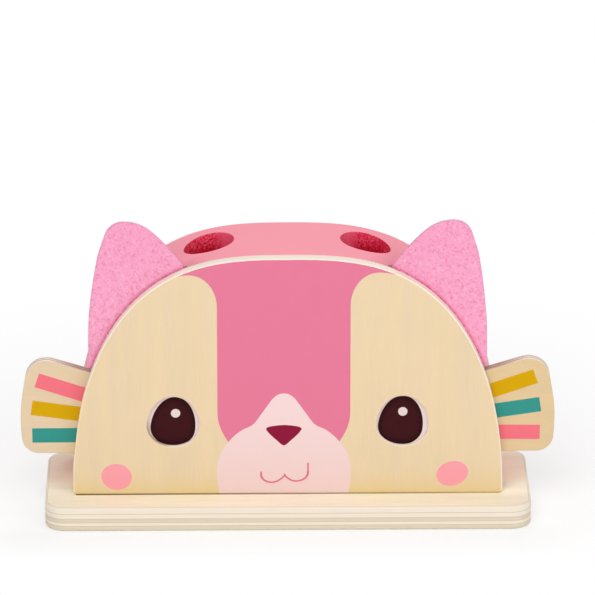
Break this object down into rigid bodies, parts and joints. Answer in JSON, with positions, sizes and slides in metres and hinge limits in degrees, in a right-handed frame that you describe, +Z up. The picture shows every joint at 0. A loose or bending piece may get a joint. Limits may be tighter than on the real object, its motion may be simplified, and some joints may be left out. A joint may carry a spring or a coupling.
{
  "type": "pop up animal toy",
  "caption": "Arched wooden kitten toy on a base board: pressing a striped side paddle pops a round peg up through the hole above it.",
  "frame": {"origin": "middle of the base board's underside", "axes": "+Z up, the painted face looks along -Y, +X to the right of someone who looks at the face"},
  "size_m": [0.2636, 0.072, 0.154],
  "materials": {
    "plywood": "clear satin lacquer",
    "painted_face": "clear satin lacquer with a printed face",
    "striped_plywood": "clear satin lacquer with printed stripes",
    "pink_paint": "satin paint",
    "pink_felt": "short brushed felt",
    "eye_paint": "satin paint",
    "peg_paint": "satin paint",
    "beech": "sanded",
    "nylon": "matte",
    "zinc_steel": "bright zinc"
  },
  "bodies": {
    "frame": {"base_board": "plywood", "base_screws": "zinc_steel", "front_panel": "painted_face", "body_front_board": "pink_paint", "body_middle_board": "pink_paint", "body_back_board": "pink_paint", "body_dowels": "beech", "left_ear": "pink_felt", "left_eye": "eye_paint", "left_pivot_pin": "beech", "left_pivot_washers": "nylon", "right_ear": "pink_felt", "right_eye": "eye_paint", "right_pivot_pin": "beech", "right_pivot_washers": "nylon"},
    "left_paddle_body": {"left_paddle": "striped_plywood", "left_lift_pin": "beech"},
    "left_peg_body": {"left_peg": "peg_paint", "left_peg_foot": "beech"},
    "right_paddle_body": {"right_paddle": "striped_plywood", "right_lift_pin": "beech"},
    "right_peg_body": {"right_peg": "peg_paint", "right_peg_foot": "beech"}
  },
  "joints": [
    {"name": "left_paddle_press", "type": "hinge", "parent": "frame", "child": "left_paddle_body", "pos_m": [-0.09, -0.0093, 0.048], "axis": [0, -1, 0], "range_deg": [0, 30]},
    {"name": "left_peg_lift", "type": "slide", "parent": "frame", "child": "left_peg_body", "axis": [0, 0, 1], "range_m": [0, 0.0267]},
    {"name": "right_paddle_press", "type": "hinge", "parent": "frame", "child": "right_paddle_body", "pos_m": [0.09, -0.0093, 0.048], "axis": [0, 1, 0], "range_deg": [0, 30]},
    {"name": "right_peg_lift", "type": "slide", "parent": "frame", "child": "right_peg_body", "axis": [0, 0, 1], "range_m": [0, 0.0267]}
  ],
  "couplings": [
    {"joint": "left_peg_lift", "follows": "left_paddle_press", "m_per_rad": 0.050914},
    {"joint": "right_peg_lift", "follows": "right_paddle_press", "m_per_rad": 0.050914}
  ]
}
